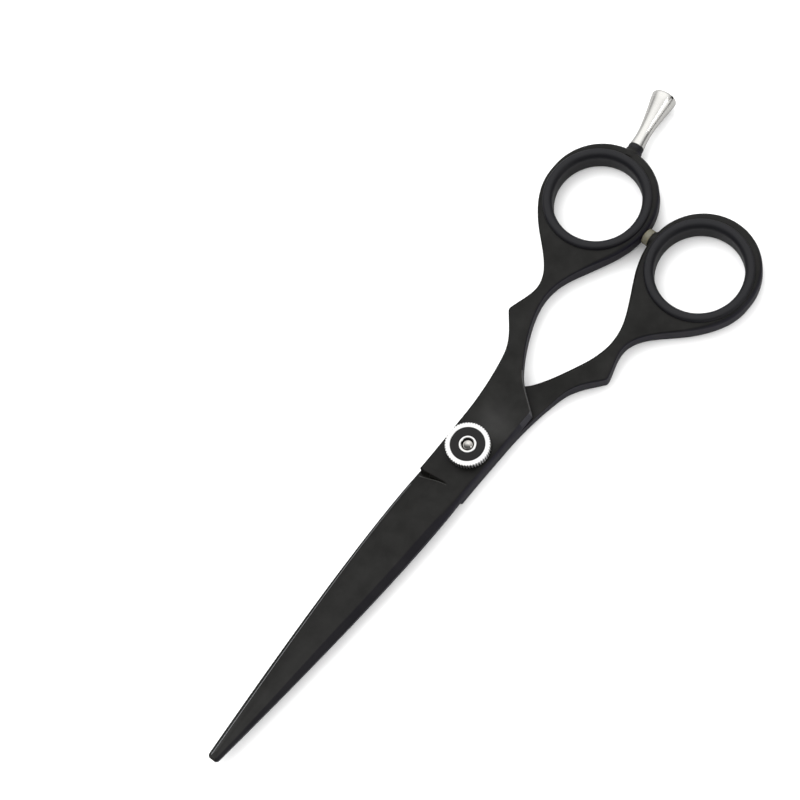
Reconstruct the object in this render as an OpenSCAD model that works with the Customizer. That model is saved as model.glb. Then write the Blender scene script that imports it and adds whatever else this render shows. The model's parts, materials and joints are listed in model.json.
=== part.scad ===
// Hair cutting shears: two lapped halves, a tension wheel on the pivot and a screwed-in finger rest.
// Millimetres. Origin on the pivot axis, at the outer face of the pivot bolt's head.
// +Y runs towards the handles, the tips lie at -Y, and +Z is the wheel side.
// The upper half has the finger ring (-X); the lower half is the same shape turned half a turn about Y.
// Each sub-part is drawn about the plane where the blades ride on each other, and piece() lifts it.

/* [Blades] */
// Distance from the pivot axis to the tips
blade_reach = 95.5; // [80:0.5:110]
// Half the width of a blade at its widest, just below the heel
heel_half_w = 6.6; // [6.3:0.1:7]
// Half the width of a blade where the tip starts to round off
tip_half_w = 1.6; // [1.2:0.05:1.8]
// Thickness of both halves together at the pivot
lap_t = 5.1; // [4.6:0.1:6]
// Height of a blade's back at the tip
tip_t = 1.45; // [1.2:0.05:2]
// How far a cutting edge stays inside the other blade's back, at the heel
edge_inset = 0.35; // [0.1:0.05:0.4]
// Gap between the two ride faces
ride_gap = 0.04; // [0.02:0.01:0.08]

/* [Handles] */
// Sideways distance from the pivot axis to a ring's centre
ring_x = 15.75; // [15.6:0.05:17]
// Distance along the handles from the pivot axis to a ring's centre
ring_y = 68.8; // [66:0.1:72]
// Outside radius of a metal ring
ring_r = 14.5; // [14:0.1:14.8]
// How much higher the outside of a ring is centred, which thickens its top wall
ring_rise = 1.1; // [0.5:0.1:1.6]
// Radius of the hole that the rubber insert sits in
seat_r = 12; // [11.6:0.1:12.4]
// Thickness of a ring
ring_t = 5; // [4.4:0.1:5.6]
// Thickness of a handle at its waist
waist_t = 3.9; // [3.4:0.1:4.6]
// Distance from the pivot axis to the waist
waist_y = 42; // [41:0.5:43]
// Outer and inner edge of the waist
waist_x = [13.3, 10.15];
// Point of the spur on the outside of each handle
spur = [15.1, 34.6];

/* [Rubber] */
// Radius of the finger and thumb holes
bore_r = 11; // [10.2:0.1:11.3]
// How far an insert's lip stands above the ring
lip_rise = 0.9; // [0.5:0.1:1.2]
// Outside radius of an insert's lip
lip_r = 13.5; // [13:0.1:13.8]
// Length of the straight wall inside an insert
bore_wall = 4; // [2:0.2:4.4]
// Radius of the bumper between the rings
bumper_r = 2.1; // [1.6:0.1:2.4]

/* [Pivot] */
// Radius of the pivot bolt where the halves turn on it
journal_r = 2.3; // [2:0.1:2.6]
// Radius of the bolt's threaded end
thread_r = 1.5; // [1.3:0.1:1.7]
// Radius of the bolt's head
head_r = 4; // [3.6:0.1:4.4]
// Radius of the tension wheel over its teeth
wheel_r = 5.5; // [5.2:0.1:5.8]
// Number of teeth round the wheel
wheel_teeth = 50; // [40:2:60]
// Height of the wheel's rim
wheel_h = 2.25; // [1.8:0.05:2.6]
// Inner and outer radius of the wheel's black inlay
inlay_r = [2.15, 4.25];

/* [Finger rest] */
// Where the rest's axis leaves the ring
rest_at = [-17.1, 84.15];
// Lean of the rest's axis away from +Y
rest_lean = 10.5; // [7:0.5:13]
// Length of the rest beyond its washer
rest_len = 15.5; // [12:0.5:20]
// Radius of the rest at its foot, neck and flared end
rest_r = [1.85, 1.52, 3.25];
// Radius of the collar and of the washer under the rest
collar_r = 2.1; // [1.9:0.05:2.3]
// Radius of the rest's threaded stud
stud_r = 1.25; // [1:0.05:1.4]

/* [Hidden] */
$fn = 96;

steel_black = [0.20, 0.20, 0.21];
rubber_black = [0.12, 0.12, 0.14];
nickel = [0.80, 0.80, 0.80];

// Shared clearances
slip = 0.02;          // between a piece and the seat that holds it
running = 0.04;       // radial, between a shaft and the hole it turns in
thread_play = 0.03;   // radial, between a thread and its nut

half_t = lap_t / 2;
ride_z = ride_gap / 2;
steps = 9;            // straight pieces that each curve is drawn with

// Blade outline, along the back
heel_y = -18;
curve_len = blade_reach + heel_y;
tip_y = -blade_reach + 0.8;
lap_half_w = 6.2;
notch_y = -11;
edge_start = [-heel_half_w + edge_inset, -12.3];

// Pivot recesses
bush_r = 3.2;
washer_r = 5;
washer_t = 0.42;
head_t = 1.35;
head_proud = 0.3;
head_z = -half_t - head_proud;
ride_level = half_t + head_proud;
lug = [2, 6.6, 0.5];
flat_half = 1.25;     // half the distance across the bolt's two flats
flats_z = half_t + 0.25;
wheel_rise = 0.5;     // how far one turn of the wheel lifts it and the click washer
bolt_top = 5.85;

// Wheel stack above the upper half
spring_t = 0.38;
click_r = 4.3;
click_t = 0.32;
spring_z = half_t + slip;
click_z = spring_z + spring_t + slip;
wheel_z = click_z + click_t + slip;
inlay_t = 0.45;
tooth_h = 0.2;

// Finger rest
collar_h = 1.0;
washer_h = 1.2;
stud_depth = 2.6;
rest_foot = collar_h + washer_h + 2 * slip;
rest_rim = 1.1;
pinhole_r = 0.33;

// Long ramp that each handle's lower face falls away on, from the lap to its full thickness
shoulder_turn = 20;
shoulder_start = 20;
shoulder_ramp = 22;

// Colours a sub-part and lifts it so that the bolt head's outer face is at z = 0
module piece(colour) {
    color(colour)
        translate([0, 0, ride_level])
            children();
}

function cubic(a, b, c, d, n = steps) =
    [for (i = [0 : n - 1]) let (t = i / n, s = 1 - t)
        s * s * s * a + 3 * s * s * t * b + 3 * s * t * t * c + t * t * t * d];
function arc(centre, r, from, to, n) =
    [for (i = [0 : n]) let (a = from + (to - from) * i / n) centre + r * [cos(a), sin(a)]];
function flip(pts) = [for (p = pts) [-p[0], p[1]]];
function backwards(pts) = [for (i = [len(pts) - 1 : -1 : 0]) pts[i]];

// Convex edge from the heel to the tip, drawn on the +X side
function blade_curve(inset) = cubic([heel_half_w - inset, heel_y],
    [heel_half_w - inset, heel_y - 0.28 * curve_len],
    [0.58 * heel_half_w - 2.2 * inset, heel_y - 0.69 * curve_len], [tip_half_w - 1.6 * inset, tip_y], 16);

function cutting_side() = concat([[-tip_half_w + 0.8, -blade_reach], [-tip_half_w + 1.6 * edge_inset, tip_y]],
    flip(backwards(blade_curve(edge_inset))), [edge_start, [-5.75, -11.8], [-5.9, notch_y - 0.1]]);
function outer_side() = concat([[-lap_half_w, notch_y + 0.2]],
    cubic([-6.35, 6], [-6.4, 13], [-7.7, 20.6], [-8.7, 24]),
    cubic([-8.7, 24], [-10, 28], [-12.6, 30.3], [-14.8, 33]),
    cubic([-14.8, 33], [-15.25, 33.5], [-15.3, 33.9], [-spur[0], spur[1]], 4),
    cubic([-spur[0], spur[1]], [-14.3, 37.6], [-waist_x[0], waist_y - 2.4], [-waist_x[0], waist_y]),
    cubic([-waist_x[0], waist_y], [-waist_x[0], 46.8], [-18.5, 50.6], [-22.2, 54]),
    cubic([-22.2, 54], [-27.5, 59], [-ring_x - ring_r, ring_y - 5.3], [-ring_x - ring_r, ring_y]));
function ring_top() = arc([-ring_x, ring_y + ring_rise], ring_r, 180, 0, 36);
function inner_side() = concat(
    cubic([-ring_x + ring_r, ring_y], [-ring_x + ring_r, ring_y - 6.3], [-4, 58.3], [-6.25, 54]),
    cubic([-6.25, 54], [-8.3, 50], [-waist_x[1], 46.6], [-waist_x[1], waist_y]),
    cubic([-waist_x[1], waist_y], [-waist_x[1], 36.3], [-6.2, 28.2], [-1.5, 22.4]),
    cubic([-1.5, 22.4], [0.2, 20.3], [3.9, 17.9], [6.6, 15.75], 6));
function back_side() = concat([[6.6, 15.75], [6.5, 6]],
    cubic([lap_half_w + 0.15, -6], [lap_half_w + 0.15, -10], [heel_half_w, -13], [heel_half_w, heel_y], 5),
    blade_curve(0), [[tip_half_w, tip_y], [tip_half_w - 0.05, -blade_reach + 0.3],
                     [tip_half_w - 0.3, -blade_reach]]);

// Outline of the half whose ring is at -X
module half_outline() {
    polygon(concat(cutting_side(), outer_side(), ring_top(), inner_side(), back_side()));
}

// Side view: the blade thins towards the tip and the handle thins at its waist
module half_side_view() {
    upper = concat([[-blade_reach - 1, tip_t], [notch_y, half_t], [20, half_t]],
        cubic([20, half_t], [28, half_t], [32, waist_t / 2], [waist_y - 3, waist_t / 2]),
        cubic([waist_y + 4, waist_t / 2], [49, waist_t / 2], [51, ring_t / 2], [57, ring_t / 2]),
        [[ring_y + 20, ring_t / 2]]);
    lower = [for (p = backwards(upper)) [p[0], -p[1]]];
    polygon(concat(upper, lower));
}

// Space below the ride face and below the ramp
module lap_space() {
    rotate([0, 0, shoulder_turn])
        translate([0, shoulder_start, 0])
            rotate([90, 0, 90])
                translate([0, 0, -80])
                    linear_extrude(160)
                        polygon([[-150, ride_z], [0, ride_z], [shoulder_ramp, -half_t - 1],
                                 [-150, -half_t - 1]]);
}

// Ground face that falls from the blade's ridge to its cutting edge, with the notch at its heel
module edge_grind() {
    edge_z = 0.4;
    lean = atan2(-edge_start[0] - tip_half_w, blade_reach + edge_start[1]);
    slope = 15.5;
    translate([edge_start[0], -11.9, edge_z])
        rotate([0, 0, lean])
            rotate([0, -slope, 0])
                rotate([90, 0, 90])
                    translate([0, 0, -30])
                        linear_extrude(60)
                            polygon([[-120, 0], [0, 0], [1.1, 2.6], [1.1, 9], [-120, 9]]);
}

// Flats that take the corner off the back: steep along the lap, broad along the blade
module back_bevel() {
    from = [5.75, -13];
    lean = atan2(from[0] - 0.75, blade_reach + from[1]);
    slope = 33;
    lap_slope = 72;
    translate([from[0], from[1], half_t])
        rotate([0.75, 0, -lean])
            rotate([0, slope, 0])
                translate([-20, -120, 0])
                    cube([60, 120, 20]);
    translate([from[0], from[1], half_t])
        rotate([0, 0, -0.5])
            rotate([0, lap_slope, 0])
                translate([-20, 0, 0])
                    cube([60, 40, 20]);
}

// One half without its pivot hole, ring at -X and blade above the ride plane
module shear_half() {
    difference() {
        intersection() {
            translate([0, 0, -half_t])
                linear_extrude(lap_t)
                    half_outline();
            rotate([90, 0, 90])
                translate([0, 0, -40])
                    linear_extrude(80)
                        half_side_view();
        }
        lap_space();
        edge_grind();
        back_bevel();
        translate([-ring_x, ring_y, -half_t - 1])
            cylinder(r = seat_r, h = lap_t + 2);
    }
}

// Places its children on the finger rest's axis, +Z outwards from the ring
module on_rest_axis(along = 0) {
    translate([rest_at[0], rest_at[1], 0])
        rotate([0, 0, rest_lean])
            rotate([-90, 0, 0])
                translate([0, 0, along])
                    children();
}

module upper_blade() {
    piece(steel_black)
        difference() {
            union() {
                shear_half();
                on_rest_axis(-1.5)
                    cylinder(r1 = collar_r + 0.6, r2 = collar_r, h = collar_h + 1.5);
            }
            translate([0, 0, -1])
                cylinder(r = bush_r, h = half_t + 2);
            translate([0, 0, -1])
                cylinder(r = washer_r + slip, h = 1 + slip + washer_t);
            on_rest_axis(-stud_depth - 0.2)
                cylinder(r = stud_r + thread_play, h = stud_depth + collar_h + 1);
        }
}

module lower_blade() {
    piece(steel_black)
        difference() {
            union() {
                rotate([0, 180, 0])
                    shear_half();
                bumper_boss();
            }
            translate([0, 0, -half_t - 1])
                cylinder(r = journal_r + slip, h = half_t + 2);
            translate([0, 0, head_z - 1])
                cylinder(r = head_r + slip, h = head_t + 1);
            translate([0, 0, head_z + head_t + (lug[2] + slip) / 2 - 0.05])
                cube([lug[0] + 2 * slip, lug[1] + 2 * slip, lug[2] + slip + 0.1], center = true);
            bumper_axis(-2)
                cylinder(r = bumper_r * 0.5, h = 6);
        }
}

// Places its children on the bumper's axis, +Z pointing from the thumb ring to the finger ring
module bumper_axis(along = 0) {
    translate([ring_x - ring_r, ring_y + 0.3, 0])
        rotate([0, -90, 0])
            translate([0, 0, along])
                children();
}

// Low round boss on the thumb ring that the bumper sits on
module bumper_boss() {
    bumper_axis(-1)
        cylinder(r = bumper_r + 0.1, h = 1.5);
}

// Insert with a rounded lip over each face of the ring
module ring_insert(x) {
    lip_top = ring_t / 2 + lip_rise;
    crown_r = (bore_r + lip_r) / 2 + 0.15;
    seat = ring_t / 2 + slip;
    upper = concat(
        [for (i = [0 : 7]) let (a = 90 * i / 7)
            [crown_r - (crown_r - bore_r) * cos(a), bore_wall / 2 + (lip_top - bore_wall / 2) * sin(a)]],
        [for (i = [1 : 5]) let (a = 90 * i / 5)
            [crown_r + (lip_r - crown_r) * sin(a), seat + 0.15 + (lip_top - seat - 0.15) * cos(a)]],
        [[lip_r, seat], [seat_r - slip, seat]]);
    lower = [for (p = backwards(upper)) [p[0], -p[1]]];
    piece(rubber_black)
        translate([x, ring_y, 0])
            rotate_extrude()
                polygon(concat(upper, lower));
}

module finger_ring_insert() { ring_insert(-ring_x); }

module thumb_ring_insert() { ring_insert(ring_x); }

module bumper() {
    gap = 2 * (ring_x - ring_r);
    piece([0.85, 0.85, 0.78])
        union() {
            bumper_axis(0.5 + slip)
                cylinder(r = bumper_r, h = gap - 1.1);
            bumper_axis(0.5 + slip + gap - 1.1)
                cylinder(r1 = bumper_r, r2 = bumper_r - 0.5, h = 0.5);
            bumper_axis(-1.8)
                cylinder(r = bumper_r * 0.5 - slip, h = 2.8);
        }
}

module finger_rest() {
    foot = [[0, 0], [rest_r[0], 0], [rest_r[0], 0.4]];
    flare = cubic([rest_r[0] - 0.05, 0.8], [rest_r[1], 3.5], [rest_r[1] + 0.1, 6],
                  [rest_r[2], rest_len - 1.4], 12);
    rim = arc([rest_r[2] - rest_rim, rest_len - rest_rim], rest_rim, 10, 90, 6);
    piece(nickel)
        on_rest_axis(rest_foot)
            difference() {
                union() {
                    rotate_extrude()
                        polygon(concat(foot, flare, rim, [[0, rest_len]]));
                    translate([0, 0, -rest_foot - stud_depth])
                        cylinder(r = stud_r, h = rest_foot + stud_depth + 1);
                }
                rotate([0, 0, -45])
                    translate([rest_r[2] - 0.85, 0, rest_len - 1.6])
                        cylinder(r = pinhole_r, h = 3);
            }
}

module rest_washer() {
    piece(rubber_black)
        on_rest_axis(collar_h + slip)
            difference() {
                cylinder(r = collar_r - 0.05, h = washer_h);
                translate([0, 0, -1])
                    cylinder(r = stud_r + running, h = washer_h + 2);
            }
}

module pivot_bolt() {
    flats_top = wheel_z + wheel_rise + 0.1;
    piece(nickel)
        difference() {
            union() {
                translate([0, 0, head_z])
                    cylinder(r = head_r, h = head_t);
                translate([0, 0, head_z + head_t + lug[2] / 2 - 0.05])
                    cube([lug[0], lug[1], lug[2] + 0.1], center = true);
                translate([0, 0, head_z])
                    cylinder(r = journal_r, h = flats_z - head_z);
                translate([0, 0, flats_z - 0.5])
                    cylinder(r = thread_r, h = bolt_top - flats_z - 0.1);
                translate([0, 0, bolt_top - 0.6])
                    cylinder(r1 = thread_r, r2 = 0.35, h = 0.6);
            }
            for (side = [-1, 1])
                translate([side * (flat_half + 2), 0, (flats_z + flats_top) / 2])
                    cube([4, 8, flats_top - flats_z], center = true);
            translate([0, 0, head_z])
                cube([0.9, 2 * head_r + 1, 1.1], center = true);
        }
}

module pivot_bush() {
    piece([0.90, 0.88, 0.80])
        translate([0, 0, ride_z + washer_t + slip])
            difference() {
                cylinder(r = bush_r - slip, h = half_t - ride_z - washer_t - slip);
                translate([0, 0, -1])
                    cylinder(r = journal_r + running, h = half_t + 2);
            }
}

module thrust_washer() {
    piece([0.92, 0.92, 0.90])
        difference() {
            cylinder(r = washer_r, h = washer_t);
            translate([0, 0, -1])
                cylinder(r = journal_r + running, h = washer_t + 2);
        }
}

// Wave spring drawn as its swept ring with three raised pads on each side
module wave_spring() {
    core = 0.16;
    piece(nickel)
        translate([0, 0, spring_z])
            difference() {
                union() {
                    translate([0, 0, (spring_t - core) / 2])
                        cylinder(r = click_r - 0.3, h = core);
                    for (i = [0 : 5])
                        rotate([0, 0, 60 * i])
                            translate([3.25, 0, i % 2 == 0 ? 0 : spring_t / 2])
                                cylinder(r = 0.6, h = spring_t / 2);
                }
                translate([0, 0, -1])
                    cylinder(r = journal_r + 0.2, h = spring_t + 2);
            }
}

module click_washer() {
    piece(nickel)
        translate([0, 0, click_z])
            difference() {
                cylinder(r = click_r, h = click_t);
                intersection() {
                    translate([0, 0, -1])
                        cylinder(r = thread_r + 0.06, h = click_t + 2);
                    cube([2 * flat_half + 0.1, 8, 4], center = true);
                }
            }
}

module tension_wheel() {
    knurl = [for (i = [0 : 2 * wheel_teeth - 1]) let (a = 180 * i / wheel_teeth,
             r = i % 2 == 0 ? wheel_r : wheel_r - tooth_h) r * [cos(a), sin(a)]];
    piece(nickel)
        translate([0, 0, wheel_z])
            difference() {
                linear_extrude(wheel_h)
                    polygon(knurl);
                translate([0, 0, -1])
                    cylinder(r = thread_r + thread_play, h = wheel_h + 2);
                translate([0, 0, wheel_h - inlay_t - slip])
                    difference() {
                        cylinder(r = inlay_r[1], h = 2);
                        translate([0, 0, -1])
                            cylinder(r = inlay_r[0], h = 4);
                    }
            }
}

module wheel_inlay() {
    piece(rubber_black)
        translate([0, 0, wheel_z + wheel_h - inlay_t])
            difference() {
                cylinder(r = inlay_r[1] - slip, h = inlay_t - 0.05);
                translate([0, 0, -1])
                    cylinder(r = inlay_r[0] + slip, h = inlay_t + 2);
            }
}

upper_blade();
lower_blade();
finger_ring_insert();
thumb_ring_insert();
bumper();
finger_rest();
rest_washer();
pivot_bolt();
pivot_bush();
thrust_washer();
wave_spring();
click_washer();
tension_wheel();
wheel_inlay();
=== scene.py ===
"""Looks of the hair cutting shears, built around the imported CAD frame.

Everything is worked out in millimetres about the ride plane (z = 0 where the two blades touch) and
turned into metres in the row frame when a mesh is made. Both halves are one shape: the finger half has
its ring at -X, and the thumb half is the same shape turned half a turn about Y.
"""

import json
from math import cos, pi, radians, sin, tau

import bmesh
import bpy
import numpy as np
from mathutils import Matrix, Vector
from mathutils.geometry import delaunay_2d_cdt


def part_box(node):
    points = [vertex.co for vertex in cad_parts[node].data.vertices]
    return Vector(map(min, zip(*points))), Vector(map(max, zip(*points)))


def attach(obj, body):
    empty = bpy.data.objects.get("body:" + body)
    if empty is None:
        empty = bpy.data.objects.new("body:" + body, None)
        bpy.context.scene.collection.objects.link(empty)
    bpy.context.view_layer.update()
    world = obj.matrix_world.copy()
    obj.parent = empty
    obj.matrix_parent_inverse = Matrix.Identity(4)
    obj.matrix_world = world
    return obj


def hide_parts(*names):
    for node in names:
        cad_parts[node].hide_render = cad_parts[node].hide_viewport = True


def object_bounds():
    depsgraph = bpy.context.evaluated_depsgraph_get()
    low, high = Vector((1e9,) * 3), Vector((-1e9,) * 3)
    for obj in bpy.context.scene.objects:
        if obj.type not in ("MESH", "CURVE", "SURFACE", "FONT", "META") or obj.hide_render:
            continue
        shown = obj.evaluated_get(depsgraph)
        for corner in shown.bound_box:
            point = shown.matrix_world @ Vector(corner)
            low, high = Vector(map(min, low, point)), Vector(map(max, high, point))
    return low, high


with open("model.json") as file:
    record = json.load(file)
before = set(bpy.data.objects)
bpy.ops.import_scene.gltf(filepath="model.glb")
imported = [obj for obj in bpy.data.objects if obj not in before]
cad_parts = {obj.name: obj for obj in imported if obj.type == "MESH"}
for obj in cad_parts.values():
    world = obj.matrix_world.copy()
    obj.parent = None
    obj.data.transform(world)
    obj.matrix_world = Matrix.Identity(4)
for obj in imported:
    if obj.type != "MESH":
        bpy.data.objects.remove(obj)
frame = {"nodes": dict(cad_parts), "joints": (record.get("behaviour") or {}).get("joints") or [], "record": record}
cad_low, cad_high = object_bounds()

MM = 0.001

# ------------------------------------------------ sizes that the frame gives

joints = {joint["name"]: joint for joint in frame["joints"]}
mounts = {mount["name"]: mount for mount in frame["record"]["mounts"]}
RIDE = joints["blade_pivot"]["pos_m"][2] / MM


def box_mm(node):
    """Lowest and highest corner of a CAD node in millimetres, about the ride plane."""
    low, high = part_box(node)
    lift = Vector((0, 0, RIDE))
    return low / MM - lift, high / MM - lift


def to_metres(point):
    """A point in millimetres about the ride plane, in the row frame."""
    return (Vector(point) + Vector((0, 0, RIDE))) * MM


half_low, half_high = box_mm("upper_blade")
insert_low, insert_high = box_mm("thumb_ring_insert")
wheel_low, wheel_high = box_mm("tension_wheel")
inlay_low, inlay_high = box_mm("wheel_inlay")
bolt_low, bolt_high = box_mm("pivot_bolt")
bumper_low, bumper_high = box_mm("bumper")
spring_low, _ = box_mm("wave_spring")

REACH = -half_low.y                       # pivot axis to the tips
HALF_T = half_high.z                      # thickness of one half at the pivot
RING_X = mounts["thumb_bore"]["pos_m"][0] / MM
RING_Y = mounts["thumb_bore"]["pos_m"][1] / MM
BORE_R = mounts["thumb_bore"]["dims"]["r_mm"]
BORE_WALL = mounts["thumb_bore"]["dims"]["length_mm"] / 2
RING_R = -half_low.x - RING_X
LIP_R = (insert_high.x - insert_low.x) / 2
LIP_TOP = insert_high.z
WHEEL_R = wheel_high.x
REST_AT = Vector(joints["rest_thread"]["pos_m"]) / MM - Vector((0, 0, RIDE))
REST_AXIS = Vector(joints["rest_thread"]["axis"]).normalized()

# ------------------------------------------------ design sizes, in mm

RIDE_GAP = 0.02         # each ride face to the ride plane
HEEL_HALF_W = 6.6       # half the blade's width at its widest
HEEL_Y = -18            # where the blade is widest
TIP_HALF_W = 1.6        # half the blade's width where the tip's rounding starts
TIP_Y = -REACH + 0.8    # where the tip's rounding starts
TIP_T = 1.45            # height of a blade's back at the tip
EDGE_INSET = 0.35       # how far a cutting edge stays inside the other blade's back, at the heel
LAP_HALF_W = 6.2        # half the lap's width at the notch
LAP_CORNER = (6.6, 15.75)
NOTCH_Y = -11.0         # where the notch cuts the lap's side
NOTCH_SKEW = 0.14       # how much the notch's line climbs towards the handle, for each mm across
NOTCH_RUN = 1.5         # length of the notch's groove
RING_RISE = 1.1         # the ring's outside is centred this much above its hole
RING_HALF_T = 2.5       # half the ring's thickness
SEAT_R = 12.0           # radius of the ring's hole, where the insert sits
WAIST_Y = 42            # where the handle is slimmest
WAIST_OUT, WAIST_IN = 13.3, 10.15
WAIST_HALF_T = 1.95     # half the handle's thickness at the waist
SPUR = (-15.1, 34.6)    # point of the spur on the handle's outside
RAMP_DIR = np.array([-sin(radians(20)), cos(radians(20))])
RAMP_START = 20         # where a handle's lower face starts to leave the ride plane
RAMP_RUN = 13           # how far it takes to reach the handle's full thickness

LAP_EDGE = 0.3          # rounding of the lap's top edge
LAP_DRAFT = (0.7, 2.0)  # width and height of the steep flat along the lap's back
HANDLE_EDGE = 0.45      # rounding of the handles' edges
RING_EDGE = 1.15        # rounding of the rings' outer edges
RIDE_EDGE = 0.1         # rounding of the ride face's edges
EDGE_STEPS = 6          # rows of faces in a rounded edge
PIVOT_STEPS = 64        # points round the pivot hole
SEAT_STEPS = 120        # points round a ring's hole
SHARP = 28              # creases sharper than this many degrees stay sharp
STRIP_Z = 0.3           # height of the honed strip above the ride plane
STRIP_W = (0.20, 0.28)  # width of the honed strip at the heel and at the tip
RIDGE_X = (1.6, 0.3)    # where the hollow face meets the flat, at the heel and at the tip
BEVEL_SLOPE = 0.62      # of the flat along a blade's back
BEVEL_W = 1.75          # its width where it is widest
GROOVE = 0.45           # depth of the groove at a notch, below the ground face
HOLLOW = 0.16           # depth of the hollow in a blade's inner face


# ------------------------------------------------ curves

def cubic(a, b, c, d, steps=22):
    """Points of a cubic curve from a up to, but not including, d."""
    a, b, c, d = (np.array(p, float) for p in (a, b, c, d))
    t = (np.arange(steps) / steps)[:, None]
    s = 1 - t
    return s**3 * a + 3 * s**2 * t * b + 3 * s * t**2 * c + t**3 * d


def arc(centre, radius, start, end, steps):
    """Points of an arc in the plane, both ends included; angles in degrees."""
    a = np.radians(np.linspace(start, end, steps + 1))
    return np.array(centre) + radius * np.stack([np.cos(a), np.sin(a)], 1)


def smooth(low, high, value):
    """0 below low, 1 above high, and an even ease between."""
    t = np.clip((np.asarray(value, float) - low) / (high - low), 0, 1)
    return t * t * (3 - 2 * t)


def mix(a, b, share):
    """From a to b by a share."""
    return a + (b - a) * share


def blade_curve(inset, steps=56):
    """A blade's long side from just below the heel to the tip, on the +X side."""
    run = REACH + HEEL_Y
    return cubic((HEEL_HALF_W - inset, HEEL_Y), (HEEL_HALF_W - inset, HEEL_Y - 0.28 * run),
                 (0.58 * HEEL_HALF_W - 2.2 * inset, HEEL_Y - 0.69 * run),
                 (TIP_HALF_W - 1.6 * inset, TIP_Y), steps)


NOTCH_MOUTH = [(-6.0, -12.2), (-5.84, -11.95), (-5.76, -11.7), (-5.78, -11.4), (-5.9, -11.15),
               (-LAP_HALF_W, -10.95)]


def cutting_side():
    """The finger half's outline from the tip up its cutting edge to the notch."""
    edge = blade_curve(EDGE_INSET)[::-1] * (-1, 1)
    tip = [(-TIP_HALF_W + 0.9, -REACH), (-TIP_HALF_W + 0.73, -REACH + 0.12),
           (-TIP_HALF_W + 1.6 * EDGE_INSET, TIP_Y)]
    heel = [(-HEEL_HALF_W + EDGE_INSET, -15), (-HEEL_HALF_W + EDGE_INSET, -12.4)]
    return np.vstack([tip, edge, heel, NOTCH_MOUTH])


def outer_side():
    """From the notch past the spur and the waist to the side of the finger ring."""
    far = -RING_X - RING_R
    return np.vstack([
        cubic((-LAP_HALF_W, -10.6), (-6.15, -6), (-6.25, 0), (-6.35, 6), 8),
        cubic((-6.35, 6), (-6.4, 13), (-7.7, 20.6), (-8.7, 24)),
        cubic((-8.7, 24), (-10, 28), (-12.6, 30.3), (-14.8, 33)),
        cubic((-14.8, 33), (-15.25, 33.5), (-15.3, 33.9), SPUR, 8),
        cubic(SPUR, (-14.3, 37.6), (-WAIST_OUT, WAIST_Y - 2.4), (-WAIST_OUT, WAIST_Y)),
        cubic((-WAIST_OUT, WAIST_Y), (-WAIST_OUT, 46.8), (-18.5, 50.6), (-22.2, 54)),
        cubic((-22.2, 54), (-27.5, 59), (far, RING_Y - 5.3), (far, RING_Y)),
    ])


def inner_side():
    """From the finger ring down the inside of the handle, across to the lap's corner."""
    near = -RING_X + RING_R
    return np.vstack([
        cubic((near, RING_Y), (near, RING_Y - 6.3), (-4, 58.3), (-6.25, 54)),
        cubic((-6.25, 54), (-8.3, 50), (-WAIST_IN, 46.6), (-WAIST_IN, WAIST_Y)),
        cubic((-WAIST_IN, WAIST_Y), (-WAIST_IN, 36.3), (-6.2, 28.2), (-1.5, 22.4)),
        cubic((-1.5, 22.4), (0.2, 20.3), (3.9, 17.9),
              (LAP_CORNER[0] - 0.12, LAP_CORNER[1] + 0.08), 14),
    ])


def back_side():
    """From the lap's corner down the back of the blade to the tip."""
    return np.vstack([
        [(LAP_CORNER[0] - 0.12, LAP_CORNER[1] + 0.08), (LAP_CORNER[0], LAP_CORNER[1] - 0.12)],
        cubic((6.6, 15.2), (6.55, 8), (6.4, 0), (LAP_HALF_W + 0.15, -6), 14),
        cubic((LAP_HALF_W + 0.15, -6), (LAP_HALF_W + 0.15, -10), (HEEL_HALF_W, -13),
              (HEEL_HALF_W, HEEL_Y), 12),
        blade_curve(0),
        [(TIP_HALF_W, TIP_Y), (TIP_HALF_W - 0.16, -REACH + 0.35), (TIP_HALF_W - 0.6, -REACH)],
    ])


def half_outline():
    """Closed outline of the finger half, clockwise from the tip, and the numbers of its points where
    the notch ends and where the back begins."""
    parts = [cutting_side(), outer_side(),
             arc((-RING_X, RING_Y + RING_RISE), RING_R, 180, 0, 80), inner_side(), back_side()]
    outline = np.vstack(parts)
    return outline, len(parts[0]), len(outline) - len(parts[-1])


def side_table(points):
    """A side's distance from the centre line as a function of y."""
    order = np.argsort(points[:, 1])
    return points[order, 1], np.abs(points[order, 0])


BACK_TABLE = side_table(back_side()[1:])
EDGE_TABLE = side_table(cutting_side()[:-len(NOTCH_MOUTH)])


def back_at(y):
    """Distance of the back from the centre line."""
    return np.interp(y, *BACK_TABLE)


def edge_at(y):
    """Distance of the cutting edge from the centre line."""
    return np.interp(y, *EDGE_TABLE)


def along_blade(heel_value, tip_value, y):
    """Value at y that runs evenly from the notch to the tip."""
    return mix(heel_value, tip_value, np.clip((NOTCH_Y - np.asarray(y)) / (REACH + NOTCH_Y), 0, 1))


def back_flat(y):
    """Width and height of the flat that takes the corner off the back: steep along the lap, then
    broad along the blade and narrower again towards the tip."""
    broad = BEVEL_W * mix(1.0, 0.36, smooth(-50, -97, y))
    share = smooth(-3, -25, y)
    return mix(LAP_DRAFT[0], broad, share), mix(LAP_DRAFT[1], BEVEL_SLOPE * broad, share)


# ------------------------------------------------ heights of the two faces

def notch_line(x):
    """Where the notch's wall stands, as a function of x."""
    return NOTCH_Y + NOTCH_SKEW * (x + LAP_HALF_W)


def notch_run(x):
    """Length of the notch's groove, which narrows towards the middle of the blade."""
    return NOTCH_RUN * mix(1, 0.42, smooth(-LAP_HALF_W, RIDGE_X[0], x))


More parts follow.
